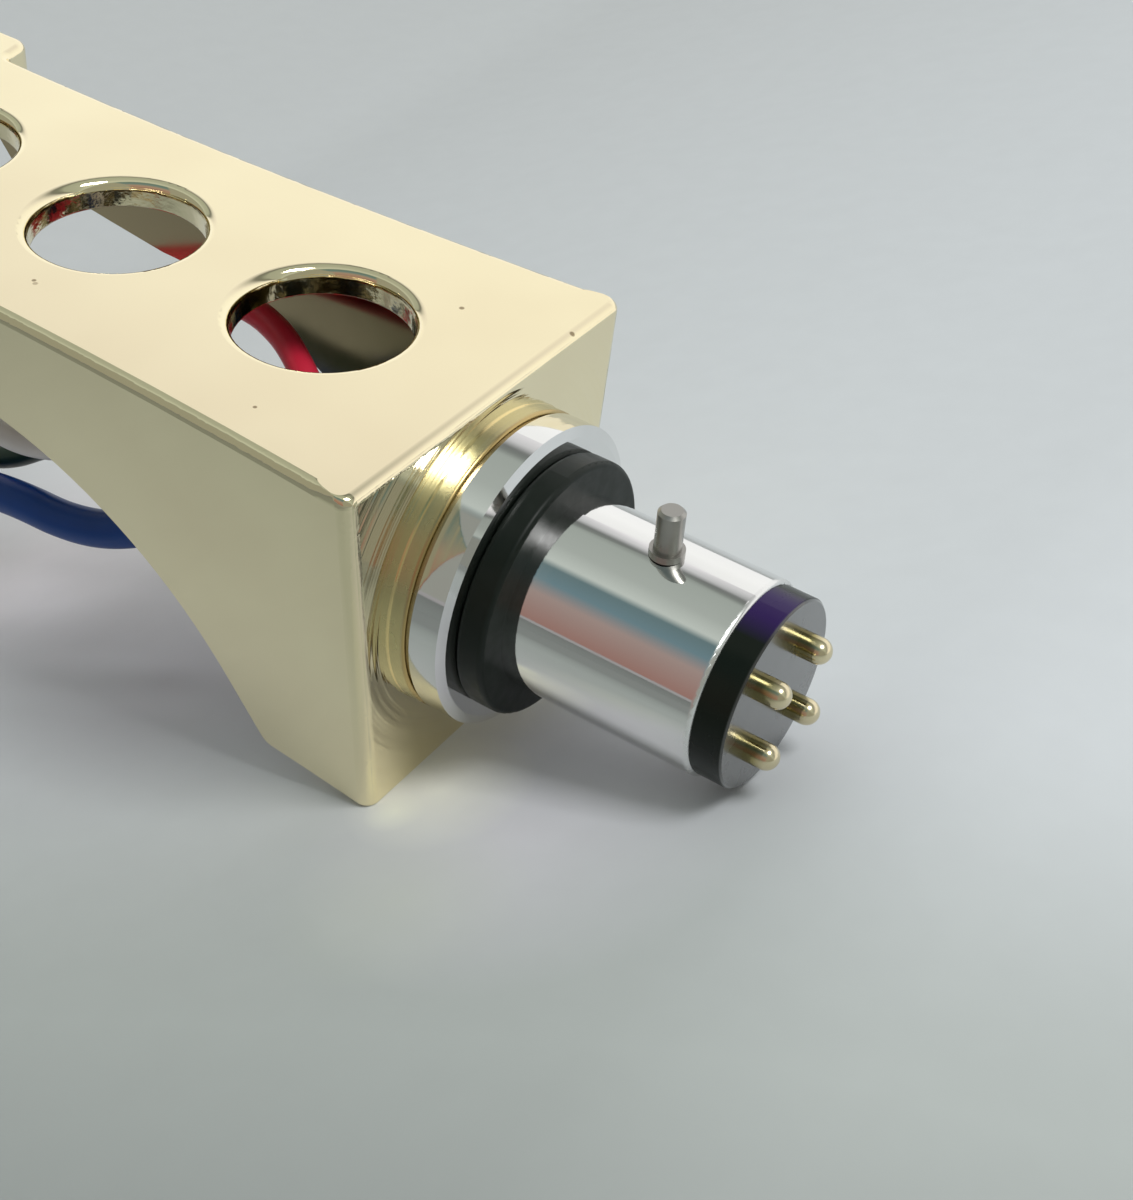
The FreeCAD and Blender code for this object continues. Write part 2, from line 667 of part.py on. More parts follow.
def place_at_contact(body, side):
    """Moves a body that is turned round the plug's axis to one of the four contacts."""
    for axis, sign in zip("yz", side):
        offset = "contact_offset" if sign > 0 else "-contact_offset"
        body.setExpression(f"Placement.Base.{axis}", bound(offset))


def contact_pin(colour, side):
    """A contact: a domed end that meets the tonearm's contact, and a thin tail."""
    body = new_body(f"contact_pin_{colour}")
    spin(body, "contact", [
        ("tail_end", "0"), ("tail_end", "tail_radius"), ("contact_step", "tail_radius"),
        ("contact_step", "contact_radius"), ("contact_dome", "contact_radius"), ("contact_tip", "0"),
    ], {4: ("contact_radius", 1)})
    place_at_contact(body, side)
    return body


def crimp_sleeve(colour, side):
    """The sleeve that joins a lead to a contact's tail."""
    body = new_body(f"crimp_sleeve_{colour}")
    spin(body, "crimp", [
        ("sleeve_front", "tail_radius"), ("sleeve_front", "sleeve_radius"),
        ("sleeve_back", "sleeve_radius"), ("sleeve_back", "0"),
        ("tail_end", "0"), ("tail_end", "tail_radius"),
    ])
    place_at_contact(body, side)
    return body


def plug_set_screw():
    """The screw under the rear wall that holds the plug, with a hexagon socket."""
    rod = doc.addObject("Part::Cylinder", "screw_rod")
    rod.setExpression("Radius", bound("set_screw_radius"))
    rod.setExpression("Height", bound("set_screw_length"))
    socket = doc.addObject("Part::Prism", "screw_socket")
    socket.Polygon = 6
    socket.setExpression("Circumradius", "Sizes.set_screw_key / cos(30)")
    socket.setExpression("Height", bound("set_screw_socket"))
    screw = doc.addObject("Part::Cut", "plug_set_screw")
    screw.Label = "plug_set_screw"
    screw.Base = rod
    screw.Tool = socket
    screw.setExpression("Placement.Base.x", bound("screw_x"))
    screw.setExpression("Placement.Base.z", bound("screw_low"))
    doc.recompute()
    return screw


def finger_lift():
    """The bent rod that the headshell is lifted by, pressed into the platform's side."""
    body = new_body("finger_lift")
    path = new_sketch(body, "lift_path", "YZ_Plane", "lift_x")
    outline(path, [("lift_root", "lift_z"), ("lift_end", "lift_z"), ("lift_bend_y", "lift_bend_z"),
                   ("lift_tip_y", "lift_tip_z")], {1: ("lift_bend", 1)}, closed=False)
    section = new_sketch(body, "lift_section", "XZ_Plane", "-lift_root")
    circle(section, ("lift_x", "lift_z"), "lift_radius")
    pipe = body.newObject("PartDesign::AdditivePipe", "rod")
    pipe.Profile = section
    pipe.Spine = path
    doc.recompute()
    tip = size("lift_tip_y")
    round_edges(body, "lift_end", lambda e: e.Closed and abs(e.CenterOfMass.y - tip) < 0.1, "lift_edge")
    return body


def route_of(lead):
    """A lead's points, from the end of its crimp sleeve to its clip."""
    y, z = (sign * size("contact_offset") for sign in lead["side"])
    return [Vector(size("sleeve_back"), y, z)] + [Vector(*point) for point in lead["route"]]


def smooth_path(points, name):
    """Straight runs joined by the largest tangent arcs that they allow."""
    edges = []
    radii = []
    at = points[0]
    for before, corner, after in zip(points, points[1:], points[2:]):
        inward = (corner - before).normalize()
        outward = (after - corner).normalize()
        half_turn = inward.getAngle(outward) / 2
        reach = 0.45 * min((corner - before).Length, (after - corner).Length)
        radius = reach / math.tan(half_turn)
        radii.append(round(radius, 1))
        start = corner - inward * reach
        end = corner + outward * reach
        aside = (outward - inward).normalize()
        middle = corner + aside * (radius / math.cos(half_turn) - radius)
        edges.append(Part.LineSegment(at, start).toShape())
        edges.append(Part.Arc(start, middle, end).toShape())
        at = end
    edges.append(Part.LineSegment(at, points[-1]).toShape())
    path = Part.Wire(edges)
    print(name, "length", round(path.Length, 2), "radii", radii)
    return path


def lead_tube(colour, lead):
    """A lead's plain tube."""
    points = route_of(lead)
    path = smooth_path(points, colour)
    radius = size(lead["radius"])
    section = Part.Wire([Part.Circle(points[0], points[1] - points[0], radius).toShape()])
    tube = doc.addObject("Part::Feature", f"lead_{colour}")
    tube.Label = f"lead_{colour}"
    tube.Shape = path.makePipeShell([section], True, False)
    expected = math.pi * radius ** 2 * path.Length
    if abs(tube.Shape.Volume / expected - 1) > 0.01:
        raise RuntimeError(f"lead_{colour} has a volume of {tube.Shape.Volume}, not {expected}")
    return tube


def lead_clip(colour, lead):
    """The clip at a lead's free end, which pushes on a cartridge's pin."""
    body = new_body(f"lead_clip_{colour}")
    spin(body, "clip", [
        ("0", "0"), ("0", "clip_rim"), ("clip_edge", "clip_radius"), ("clip_shoulder", "clip_radius"),
        ("clip_length", "clip_rim"), ("clip_length", "clip_bore"), ("clip_floor", "clip_bore"),
        ("clip_floor", "0"),
    ])
    before, last = route_of(lead)[-2:]
    body.Placement = FreeCAD.Placement(last, FreeCAD.Rotation(Vector(1, 0, 0), last - before))
    return body


def all_pieces():
    """Every piece of the headshell."""
    pieces = [headshell_body(), plug_sleeve(), rubber_washer(), locating_pin(), insulator()]
    pieces += [plug_set_screw(), finger_lift()]
    for colour, lead in LEADS.items():
        pieces.append(contact_pin(colour, lead["side"]))
        pieces.append(crimp_sleeve(colour, lead["side"]))
        pieces.append(lead_tube(colour, lead))
        pieces.append(lead_clip(colour, lead))
    return pieces


def check_document():
    """Stops where any object of the document failed to build."""
    for item in doc.Objects:
        if "Invalid" in item.State or "Error" in item.State:
            raise RuntimeError(f"{item.Name} is {item.State}")


def write_pieces(pieces):
    """Checks each piece and writes it to its own file."""
    os.makedirs("parts", exist_ok=True)
    for piece in pieces:
        shape = piece.Shape
        if shape.isNull() or not shape.isValid() or len(shape.Solids) != 1:
            raise RuntimeError(f"{piece.Label} isn't one valid solid")
    for piece in pieces:
        piece.Shape.exportStep(f"parts/{piece.Label}.step")
        print(piece.Label, "volume", round(piece.Shape.Volume, 2))


fill_sheet()
made = all_pieces()
doc.recompute()
check_document()
write_pieces(made)
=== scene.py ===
"""Dresses the headshell's frame: camera, leads, materials, floor and light.

Coordinates are the frame's: the plug's axis is X, +X points out of the plug and +Z is up.
Sizes here are in millimetres and are turned into metres where Blender needs them.
"""

import bpy
import math
from mathutils import Matrix, Vector


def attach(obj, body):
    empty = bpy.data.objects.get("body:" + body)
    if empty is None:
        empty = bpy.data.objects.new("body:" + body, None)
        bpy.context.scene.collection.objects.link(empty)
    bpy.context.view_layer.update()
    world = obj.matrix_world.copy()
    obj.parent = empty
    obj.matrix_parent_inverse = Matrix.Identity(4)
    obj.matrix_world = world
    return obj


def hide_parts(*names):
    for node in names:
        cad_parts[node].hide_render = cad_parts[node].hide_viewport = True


MM = 0.001

# The camera at the photograph's viewing angle
CAMERA_PLACE = (30.27, -50.51, 48.80)
CAMERA_AZIMUTH = -59.276
CAMERA_ELEVATION = 39.906
CAMERA_ROLL = 5.296
CAMERA_LENS = 59.75
CAMERA_SENSOR = 36.0

# Each lead's route, from the end of its crimp sleeve to its clip, with its radius and length
LEADS = {
    "red": {
        "radius": 0.6,
        "length": 36.44,
        "route": [
            (-9.87, 1.52, 1.52),
            (-11.90, 1.52, 1.52), (-13.88, 2.03, 1.81), (-15.81, 3.12, 2.43), (-17.10, 3.72, 2.71),
            (-18.89, 4.20, 2.88), (-21.50, 4.32, 2.73), (-24.29, 3.60, 1.99), (-27.60, 2.10, 0.40),
            (-31.60, 1.35, -1.40), (-35.40, 1.40, -3.80), (-38.60, 1.75, -6.70),
            (-40.90, 2.05, -10.00),
        ],
    },
    "white": {
        "radius": 0.6,
        "length": 34.12,
        "route": [
            (-9.87, -1.52, 1.52),
            (-11.60, -1.52, 1.52), (-13.70, -1.75, 1.25), (-16.40, -2.50, 0.55),
            (-19.87, -3.68, -0.40), (-24.09, -4.71, -1.69), (-27.61, -3.93, -2.08),
            (-31.20, -4.15, -3.16), (-34.79, -3.50, -4.59), (-37.92, -2.90, -7.03),
            (-40.19, -2.55, -10.19),
        ],
    },
    "green": {
        "radius": 0.6,
        "length": 34.38,
        "route": [
            (-9.87, 1.52, -1.52),
            (-11.60, 1.52, -1.52), (-13.80, 1.30, -1.75), (-16.60, 0.60, -2.35),
            (-20.27, -0.43, -2.93), (-24.90, -1.85, -3.19), (-28.28, -2.60, -5.60),
            (-32.06, -1.81, -6.56), (-35.16, -0.43, -8.04), (-37.43, 0.12, -10.90),
            (-38.60, 0.15, -14.20),
        ],
    },
    "blue": {
        "radius": 0.84,
        "length": 31.66,
        "route": [
            (-9.87, -1.52, -1.52),
            (-12.00, -1.52, -1.52), (-14.44, -1.83, -1.95), (-16.68, -2.47, -2.86),
            (-19.19, -3.47, -4.56), (-22.20, -4.01, -5.50), (-26.14, -4.06, -5.61),
            (-29.69, -3.93, -6.67), (-32.88, -3.85, -8.07), (-35.66, -4.58, -10.30),
            (-37.45, -5.18, -13.29),
        ],
    },
}

# The body's top face, and how far its sides lean in for each unit of depth
PLATE_TOP = 7.52
WALL_LEAN = 0.088

# Bands over which one finish, or painted shade or sheen, gives way to another, each from and to
WALL_MIDDLE = (7.35, 7.55)
PLATE_UNDERSIDE = (6.33, 6.36)
WINDOW_RIM = (7.05, 7.2)
CAVITY_FRONT = (-36.6, -36.3)
CAVITY_REAR = (-7.40, -7.35)
CAVITY_SHADE = (-20, -9)
REAR_FACE = (-3.60, -3.56)
BOSS = (-3.50, -3.45)
BOSS_JOINT = (-2.98, -2.88)
BARREL_END = (7.90, 7.97)
CAP_FACE = (9.36, 9.40)
CAP_PAINTED_SHEEN = (3.5, 3.8)
CONTACT_ROOT = (9.2, 9.3)
CONTACT_TIP = (9.9, 10.35)

# Small marks on the top plate and the floor, each a place and a radius
PLATE_SPECKS = [
    ((-8.03, 3.95, 7.52), 0.13),
    ((-9.71, -6.24, 7.52), 0.1),
    ((-21.75, -5.20, 7.52), 0.11),
    ((-3.75, 5.3, 7.45), 0.14),
]
PLATE_HAIR = ((-21.55, -5.33, 7.52), 0.13)
FLOOR_SPECK = ((16.4, -10.2, -1.6), 0.17)

# The floor on which the headshell leans back on its foot and its plug. Its slope passes
# through the hinge's X and Z, and dies away beyond its front and rear.
FLOOR_SLOPE = math.radians(19.0)
FLOOR_HINGE = (-3.54, -8.42)
SLOPE_FRONT = -62
SLOPE_REAR = 11.5
SLOPE_EASE = 8
FLOOR_REACH = 700

# Painted light and shade on the floor: place, radius, strength and tint. Painted pools of light
# lie near the foot, where the plating throws light back, and under the plug and under the
# cavity; the last patch is a painted shadow.
PAINTED_FLOOR_LIGHT_AND_SHADE = [
    ((3.0, -6.5, -6.0), 9.0, 0.55, (0.88, 0.85, 0.95)),
    ((-1.6, -5.2, -7.8), 4.0, 1.0, (0.97, 0.98, 0.92)),
    ((-2.5, -7.0, -8.0), 1.3, 1.0, (0.97, 0.99, 0.90)),
    ((1.1, -11.3, -6.8), 5.0, 0.25, (0.72, 0.78, 0.62)),
    ((-35.0, 5.0, -19.2), 16.0, 0.9, (0.92, 0.90, 0.97)),
    ((-19.0, -2.6, -13.7), 12.0, 0.7, (0.40, 0.39, 0.42)),
]

# The studio's light round the plug's axis, in degrees from the far side over the top
STUDIO = [
    (-180, (0.37, 0.36, 0.36)), (-60, (0.60, 0.60, 0.60)), (-30, (1.0, 1.0, 1.0)),
    (20, (1.10, 1.10, 1.08)), (36, (1.04, 1.04, 1.02)), (44, (0.91, 0.89, 0.90)),
    (50, (0.66, 0.66, 0.66)), (56, (0.20, 0.21, 0.20)), (60, (0.22, 0.24, 0.22)),
    (65, (0.40, 0.44, 0.40)), (92, (0.44, 0.48, 0.44)), (111, (0.58, 0.63, 0.58)),
    (118, (0.14, 0.21, 0.22)), (134, (0.16, 0.25, 0.28)), (149, (0.38, 0.29, 0.26)),
    (180, (0.34, 0.19, 0.16)),
]

# Where the studio turns plain grey: from this angle in radians, and from this share of X
STUDIO_NEAR_SIDE = (1.96, 2.06)
STUDIO_ENDS = (0.412, 0.435)
STUDIO_GREY = (0.33, 0.34, 0.30)

# The lamp: its direction and distance from the place that it faces, its sides and its watts
LAMP_WAY = (0.40, -0.03, 0.915)
LAMP_DISTANCE = 600
LAMP_AIM = (-10, 0, 0)
LAMP_SIDES = (190, 170)
LAMP_POWER = 1.52


def metres(point):
    """A point in metres from one in millimetres."""
    return Vector(point) * MM


def add_camera():
    """The camera, turned by azimuth, elevation and roll."""
    azimuth = math.radians(CAMERA_AZIMUTH)
    elevation = math.radians(CAMERA_ELEVATION)
    roll = math.radians(CAMERA_ROLL)
    level = math.cos(elevation)
    back = Vector((level * math.cos(azimuth), level * math.sin(azimuth), math.sin(elevation)))
    level_right = (-back).cross(Vector((0, 0, 1))).normalized()
    level_down = (-back).cross(level_right)
    right = math.cos(roll) * level_right - math.sin(roll) * level_down
    down = math.sin(roll) * level_right + math.cos(roll) * level_down
    turn = Matrix((right, -down, back)).transposed().to_4x4()
    data = bpy.data.cameras.new("camera")
    data.sensor_width = CAMERA_SENSOR
    data.lens = CAMERA_LENS
    data.clip_start = 0.001
    data.clip_end = 10.0
    camera = bpy.data.objects.new("camera", data)
    camera.matrix_world = Matrix.Translation(metres(CAMERA_PLACE)) @ turn
    bpy.context.scene.collection.objects.link(camera)
    bpy.context.scene.camera = camera


class Tree:
    """A node tree with short ways to add, set and join its nodes."""

    def __init__(self, tree):
        self.tree = tree

    def add(self, kind, **settings):
        """A node with its properties set."""
        node = self.tree.nodes.new(kind)
        for key, value in settings.items():
            setattr(node, key, value)
        return node

    def feed(self, socket, value):
        """Gives an input a number, a colour or another node's output."""
        if isinstance(value, bpy.types.NodeSocket):
            self.tree.links.new(value, socket)
        elif isinstance(value, tuple):
            socket.default_value = (*value, 1.0)
        else:
            socket.default_value = value

    def spread(self, value, low, high, out_low=0.0, out_high=1.0, smooth=False):
        """Maps a value from one range to another."""
        kind = "SMOOTHSTEP" if smooth else "LINEAR"
        node = self.add("ShaderNodeMapRange", interpolation_type=kind)
        for socket, number in zip(node.inputs, (value, low, high, out_low, out_high)):
            self.feed(socket, number)
        return node.outputs[0]

    def blend(self, factor, first, second):
        """A mix of two colours, each given as numbers or as an output."""
        node = self.add("ShaderNodeMix", data_type="RGBA")
        # The node's sockets for colours come after those for numbers and vectors
        for index, value in ((0, factor), (6, first), (7, second)):
            self.feed(node.inputs[index], value)
        return node.outputs[2]

    def math(self, operation, first, second=0.0):
        """An operation on one or two values, each given as a number or as an output."""
        node = self.add("ShaderNodeMath", operation=operation)
        for socket, value in zip(node.inputs, (first, second)):
            self.feed(socket, value)
        return node.outputs[0]

    def product(self, first, *others):
        """Several values multiplied together."""
        for other in others:
            first = self.math("MULTIPLY", first, other)
        return first

    def parts(self, vector):
        """A vector's X, Y and Z."""
        node = self.add("ShaderNodeSeparateXYZ")
        self.feed(node.inputs[0], vector)
        return node.outputs


class Surface(Tree):
    """A material's node tree, whose patterns are placed on the object in millimetres."""

    def __init__(self, name):
        self.material = bpy.data.materials.new(name)
        self.material.use_nodes = True
        super().__init__(self.material.node_tree)
        self.shader = self.tree.nodes["Principled BSDF"]
        self.output = self.tree.nodes["Material Output"]
        self.place = self.add("ShaderNodeTexCoord").outputs["Object"]

    def set(self, **values):
        """Feeds the shader's inputs, whose names have underscores here for spaces."""
        for key, value in values.items():
            self.feed(self.shader.inputs[key.replace("_", " ")], value)

    def above(self, value, band, smooth=False):
        """0 before a band and 1 beyond it."""
        return self.spread(value, band[0] * MM, band[1] * MM, smooth=smooth)

    def below(self, value, band):
        """1 before a band and 0 beyond it."""
        return self.spread(value, band[0] * MM, band[1] * MM, 1.0, 0.0)

    def spot(self, place, radius, core=0.6):
        """1 in a ball's core, which is a share of its radius, and 0 outside the ball."""
        away = self.add("ShaderNodeVectorMath", operation="DISTANCE")
        self.feed(away.inputs[0], self.place)
        self.feed(away.inputs[1], metres(place))
        return self.below(away.outputs["Value"], (core * radius, radius))

    def noise(self, per_mm, detail=3.0, stretch=(1, 1, 1)):
        """A noise texture's factor, with its scale given per millimetre."""
        mapping = self.add("ShaderNodeMapping")
        self.feed(mapping.inputs["Vector"], self.place)
        self.feed(mapping.inputs["Scale"], [s * per_mm / MM for s in stretch])
        noise = self.add("ShaderNodeTexNoise")
        self.feed(noise.inputs["Vector"], mapping.outputs["Vector"])
        self.feed(noise.inputs["Scale"], 1.0)
        self.feed(noise.inputs["Detail"], detail)
        return noise.outputs["Fac"]

    def rings(self, per_mm):
        """Fine uneven rings round the plug's axis, as a lathe leaves them."""
        _, y, z = self.parts(self.place)
        square = self.math("ADD", self.product(y, y), self.product(z, z))
        noise = self.add("ShaderNodeTexNoise", noise_dimensions="1D")
        self.feed(noise.inputs["W"], self.math("SQRT", square))
        self.feed(noise.inputs["Scale"], per_mm / MM)
        self.feed(noise.inputs["Detail"], 3.0)
        return noise.outputs["Fac"]

    def vary(self, noise, low, high):
        """A value from low to high as a noise goes over the middle of its range."""
        return self.spread(noise, 0.3, 0.7, low, high)

    def bump(self, height, strength, distance):
        """Adds a bump to any that is there already, its distance in millimetres."""
        node = self.add("ShaderNodeBump")
        self.feed(node.inputs["Strength"], strength)
        self.feed(node.inputs["Distance"], distance * MM)
        self.feed(node.inputs["Height"], height)
        normal = self.shader.inputs["Normal"]
        if normal.links:
            self.feed(node.inputs["Normal"], normal.links[0].from_socket)
        self.feed(normal, node.outputs["Normal"])


def gold_plate():
    """Pale gold plating: polished outside, dull in the cavity, turned on the rear face.
    The cavity is darker, with painted shade that deepens towards the rear wall.
    """
    m = Surface("pale_gold_plate")
    x, y, z = m.parts(m.place)

    # Masks for the cavity and the windows' inner walls, which lie between the sides and
    # between the rear wall and the front, and for the rear face and its boss
    lean = m.product(m.math("SUBTRACT", PLATE_TOP * MM, z), WALL_LEAN)
    between = m.below(m.math("ADD", m.math("ABSOLUTE", y), lean), WALL_MIDDLE)
    behind = m.above(x, CAVITY_FRONT)
    ahead = m.below(x, CAVITY_REAR)
    cavity = m.product(between, m.below(z, PLATE_UNDERSIDE), ahead, behind)
    upper = m.product(m.below(z, WINDOW_RIM), m.above(z, PLATE_UNDERSIDE))
    windows = m.product(between, upper, ahead, behind)
    rear = m.above(x, REAR_FACE)
    boss = m.above(x, BOSS)

    # Colour, with a darker cavity whose painted shade deepens towards the rear wall in patches,
    # the boss, its brown joint with the flange and the marks
    gold = m.blend(m.vary(m.noise(0.12, 2.0), 0.0, 1.0), (0.88, 0.78, 0.53), (0.93, 0.84, 0.575))
    # Patchy noise that mottles the painted shade in the cavity
    shade_mottle = m.spread(m.noise(0.25, 3.0), 0.38, 0.62, 0.7, 1.0)
    painted_cavity_shade = m.product(m.above(x, CAVITY_SHADE), shade_mottle)
    colour = m.blend(cavity, gold, m.blend(painted_cavity_shade, (0.52, 0.42, 0.27), (0.12, 0.10, 0.04)))
    colour = m.blend(m.product(boss, 0.8), colour, (0.54, 0.53, 0.38))
    colour = m.blend(m.product(m.above(x, BOSS_JOINT), 0.75), colour, (0.50, 0.33, 0.09))
    marks = m.product(m.spot(*PLATE_HAIR), 0.6)
    for place, radius in PLATE_SPECKS:
        marks = m.math("MAXIMUM", marks, m.spot(place, radius))
    m.set(Metallic=1.0, Base_Color=m.blend(marks, colour, (0.35, 0.28, 0.17)))

    # Polish, with the duller places
    rough = m.vary(m.noise(0.9, 4.0), 0.045, 0.085)
    for mask, more in ((windows, 0.06), (cavity, 0.07), (rear, 0.04), (boss, 0.16)):
        rough = m.math("ADD", rough, m.product(mask, more))
    m.set(Roughness=rough)

    # Waves all over, uneven window walls, and rings and streaks from turning at the rear
    m.bump(m.noise(0.25, 1.0), 0.25, 0.02)
    m.bump(m.product(m.noise(1.3, 4.0), windows), 0.5, 0.09)
    m.bump(m.product(m.rings(1.8), rear), 1.0, 0.04)
    m.bump(m.product(m.noise(5.0, 2.0, stretch=(1.0, 0.02, 0.02)), rear), 0.7, 0.02)
    return m.material


def chrome():
    """Polished plating with faint turning marks round the plug, duller at the barrel's end."""
    m = Surface("turned_chrome")
    x, _, _ = m.parts(m.place)
    colour = m.blend(m.noise(0.2, 2.0), (0.78, 0.78, 0.77), (0.84, 0.84, 0.83))
    rim = m.product(m.above(x, BARREL_END), 0.2)
    rough = m.math("ADD", m.vary(m.noise(1.2, 4.0), 0.04, 0.08), rim)
    m.set(Metallic=1.0, Base_Color=colour, Roughness=rough)
    m.bump(m.noise(9.0, 2.0, stretch=(1.0, 0.01, 0.01)), 0.10, 0.004)
    return m.material


def rubber():
    """Smooth black rubber."""
    m = Surface("black_rubber")
    tone = m.noise(1.5, 4.0)
    colour = m.blend(tone, (0.004, 0.008, 0.005), (0.009, 0.013, 0.010))
    m.set(Base_Color=colour, Roughness=m.vary(tone, 0.36, 0.48), Specular_IOR_Level=0.22)
    m.bump(m.noise(6.0, 3.0), 0.15, 0.01)
    return m.material


def black_plastic():
    """Black moulding: glossy on its outer face, with a painted violet sheen at the top of its rim.
    """
    m = Surface("gloss_black_moulding")
    x, _, z = m.parts(m.place)
    tone = m.noise(0.8, 3.0)
    face = m.above(x, CAP_FACE)
    black = m.blend(tone, (0.006, 0.010, 0.007), (0.010, 0.014, 0.010))
    # A painted violet sheen at the top of the rim
    tint = m.product(m.above(z, CAP_PAINTED_SHEEN), 0.9)
    rim = m.blend(tint, black, (0.034, 0.014, 0.100))
    m.set(Base_Color=m.blend(face, rim, (0.016, 0.016, 0.015)))
    m.set(Roughness=m.vary(tone, 0.22, 0.30), Coat_Roughness=0.15)
    m.set(Specular_IOR_Level=m.spread(face, 0.0, 1.0, 0.16, 0.6))
    m.set(Coat_Weight=m.spread(face, 0.0, 1.0, 0.0, 0.9))
    m.bump(m.noise(3.0, 2.0), 0.05, 0.01)
    return m.material


def metal(name, low, high, rough_low, rough_high):
    """A plain metal whose tone and polish vary a little."""
    m = Surface(name)
    tone = m.noise(1.0, 3.0)
    rough = m.vary(tone, rough_low, rough_high)
    m.set(Metallic=1.0, Base_Color=m.blend(tone, low, high), Roughness=rough)
    m.bump(m.noise(5.0, 2.0), 0.08, 0.006)
    return m.material


def contact_gold():
    """Bright gold, but darker on the contacts' shafts between the cap and the domed tips."""
    m = Surface("contact_gold")
    x, _, _ = m.parts(m.place)
    tone = m.noise(1.0, 3.0)
    gold = m.blend(tone, (0.70, 0.61, 0.40), (0.80, 0.71, 0.49))
    bright = m.math("MAXIMUM", m.above(x, CONTACT_TIP), m.below(x, CONTACT_ROOT))
    colour = m.blend(bright, (0.38, 0.33, 0.15), gold)
    m.set(Metallic=1.0, Base_Color=colour, Roughness=m.vary(tone, 0.14, 0.24))
    m.bump(m.noise(5.0, 2.0), 0.08, 0.006)
    return m.material


def insulation(name, low, high):
    """A lead's satin insulation, a little uneven along its length."""
    m = Surface(name)
    tone = m.noise(0.7, 3.0)
    rough = m.vary(tone, 0.30, 0.42)
    m.set(Base_Color=m.blend(tone, low, high), Roughness=rough, Specular_IOR_Level=0.35)
    m.bump(m.noise(2.0, 2.0), 0.12, 0.02)
    return m.material


def dress(nodes):
    """Gives each carried-over node its material."""
    gold = gold_plate()
    pin = metal("dull_steel", (0.33, 0.32, 0.30), (0.45, 0.44, 0.41), 0.25, 0.4)
    screw = metal("dark_steel", (0.10, 0.10, 0.11), (0.18, 0.18, 0.19), 0.3, 0.45)
    contact = contact_gold()
    finishes = {
        "headshell_body": gold,
        "finger_lift": gold,
        "plug_sleeve": chrome(),
        "rubber_washer": rubber(),
        "insulator": black_plastic(),
        "locating_pin": pin,
        "plug_set_screw": screw,
    }

    # The contacts, crimp sleeves and clips share one gold
    for name, node in nodes.items():
        node.data.materials.clear()
        node.data.materials.append(finishes.get(name, contact))


def add_leads():
    """The leads as smooth tubes that end in their clips."""
    tones = {
        "red": insulation("red_insulation", (0.82, 0.025, 0.065), (0.92, 0.045, 0.100)),
        "white": insulation("white_insulation", (0.62, 0.60, 0.61), (0.72, 0.70, 0.70)),
        "green": insulation("green_insulation", (0.010, 0.030, 0.018), (0.016, 0.045, 0.026)),
        "blue": insulation("blue_insulation", (0.001, 0.042, 0.230), (0.002, 0.058, 0.310)),
    }
    for colour, lead in LEADS.items():
        curve = bpy.data.curves.new(f"{colour}_lead", "CURVE")
        curve.dimensions = "3D"
        curve.bevel_depth = lead["radius"] * MM
        curve.bevel_resolution = 8
        curve.resolution_u = 24
        curve.use_fill_caps = True
        spline = curve.splines.new("NURBS")
        spline.points.add(len(lead["route"]) - 1)
        for point, place in zip(spline.points, lead["route"]):
            point.co = (*metres(place), 1.0)
        spline.order_u = 3
        spline.use_endpoint_u = True
        curve.materials.append(tones[colour])
        piece = bpy.data.objects.new(f"{colour}_lead", curve)
        bpy.context.scene.collection.objects.link(piece)
        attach(piece, "root")
        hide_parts(f"lead_{colour}")


def floor_height(x):
    """The floor's height: a slope under the object that eases to level on either side."""
    slope = math.tan(FLOOR_SLOPE)
    hinge_x, hinge_z = FLOOR_HINGE

    def eased(distance):
        """How far the slope still rises over a stretch in which it dies away."""
        reach = min(distance, SLOPE_EASE)
        return slope * (reach - reach * reach / (2 * SLOPE_EASE))

    if x > SLOPE_REAR:
        return hinge_z + slope * (SLOPE_REAR - hinge_x) + eased(x - SLOPE_REAR)
    if x < SLOPE_FRONT:
        return hinge_z + slope * (SLOPE_FRONT - hinge_x) - eased(SLOPE_FRONT - x)
    return hinge_z + slope * (x - hinge_x)


def floor_material():
    """Grey paper, seen only from above, with painted light and shade: pale on the far side
    and darker on the near side.
    """
    m = Surface("pale_floor")
    x, y, _ = m.parts(m.place)

    # Painted light and shade in bands across the paper, which run at a slant, and painted shade in
    # its front corner
    slant = m.math("SUBTRACT", y, m.product(x, 0.35))
    near = m.blend(m.above(slant, (-36, -19)), (0.30, 0.32, 0.315), (0.515, 0.55, 0.545))
    far = m.blend(m.above(x, (-75, 0)), (0.63, 0.65, 0.67), (0.73, 0.76, 0.80))
    colour = m.blend(m.above(slant, (-20, 3), smooth=True), near, far)
    painted_corner_shade = m.product(m.below(x, (-75, -15)), m.below(y, (-18, 0)), 0.45)
    colour = m.blend(painted_corner_shade, colour, (0.25, 0.27, 0.265))
    # Painted pools of light and a painted shadow on the floor
    for place, radius, strength, tint in PAINTED_FLOOR_LIGHT_AND_SHADE:
        painted_patch = m.product(m.spot(place, radius, core=0.0), strength)
        colour = m.blend(painted_patch, colour, tint)

    # The paper's grain and a speck on it
    colour = m.blend(m.vary(m.noise(0.5, 4.0), 0.0, 0.03), colour, (0.2, 0.2, 0.2))
    colour = m.blend(m.spot(*FLOOR_SPECK), colour, (0.25, 0.25, 0.25))
    m.set(Base_Color=colour, Roughness=0.75)
    m.bump(m.noise(0.6, 3.0), 0.05, 0.05)

    # The underside is clear, so that views from below see the object
    sides = m.add("ShaderNodeMixShader")
    m.feed(sides.inputs[0], m.add("ShaderNodeNewGeometry").outputs["Backfacing"])
    m.feed(sides.inputs[1], m.shader.outputs[0])
    m.feed(sides.inputs[2], m.add("ShaderNodeBsdfTransparent").outputs[0])
    m.feed(m.output.inputs["Surface"], sides.outputs[0])
    return m.material


